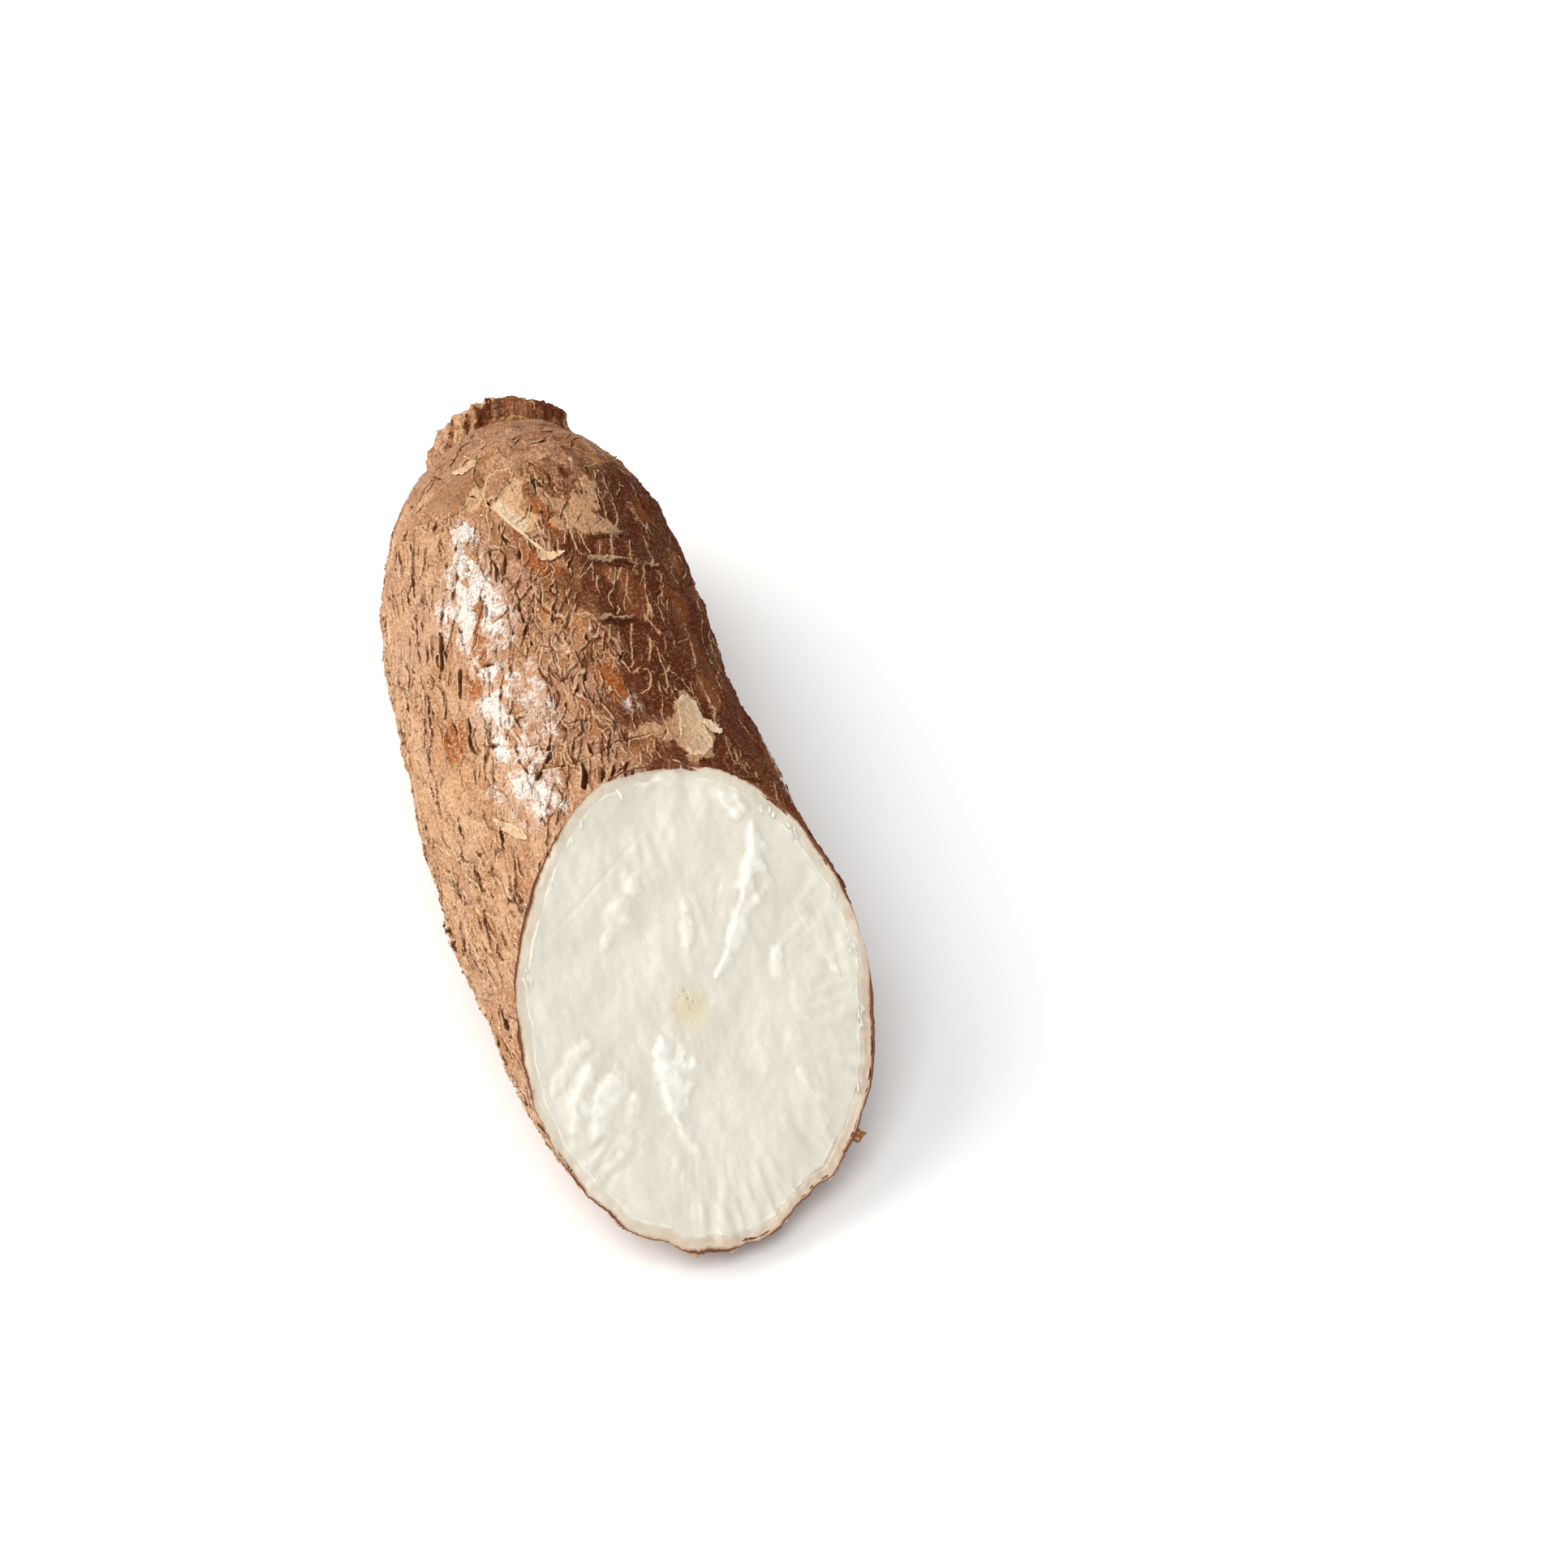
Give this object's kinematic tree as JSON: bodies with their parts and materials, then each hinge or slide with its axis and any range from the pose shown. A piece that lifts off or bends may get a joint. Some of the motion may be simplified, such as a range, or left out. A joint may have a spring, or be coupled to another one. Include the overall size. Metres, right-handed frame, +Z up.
{
  "type": "cassava root half",
  "caption": "Half of a cassava root with rough brown bark, cut on a slant to bare its white flesh, lying on its side with the stem neck at the back.",
  "frame": {"origin": "middle of the underside: centre of the box in X and Y, on the surface it rests on in Z", "axes": "+Y along the root towards the stem neck, the slanted slice faces -Y and up, +Z up"},
  "size_m": [0.0606, 0.1656, 0.0567],
  "materials": {
    "bark": "rough flaky brown bark with tan fissured patches",
    "flesh": "moist off-white starchy flesh, slightly glossy"
  },
  "bodies": {
    "root": {"cassava_root": "bark"}
  },
  "joints": []
}
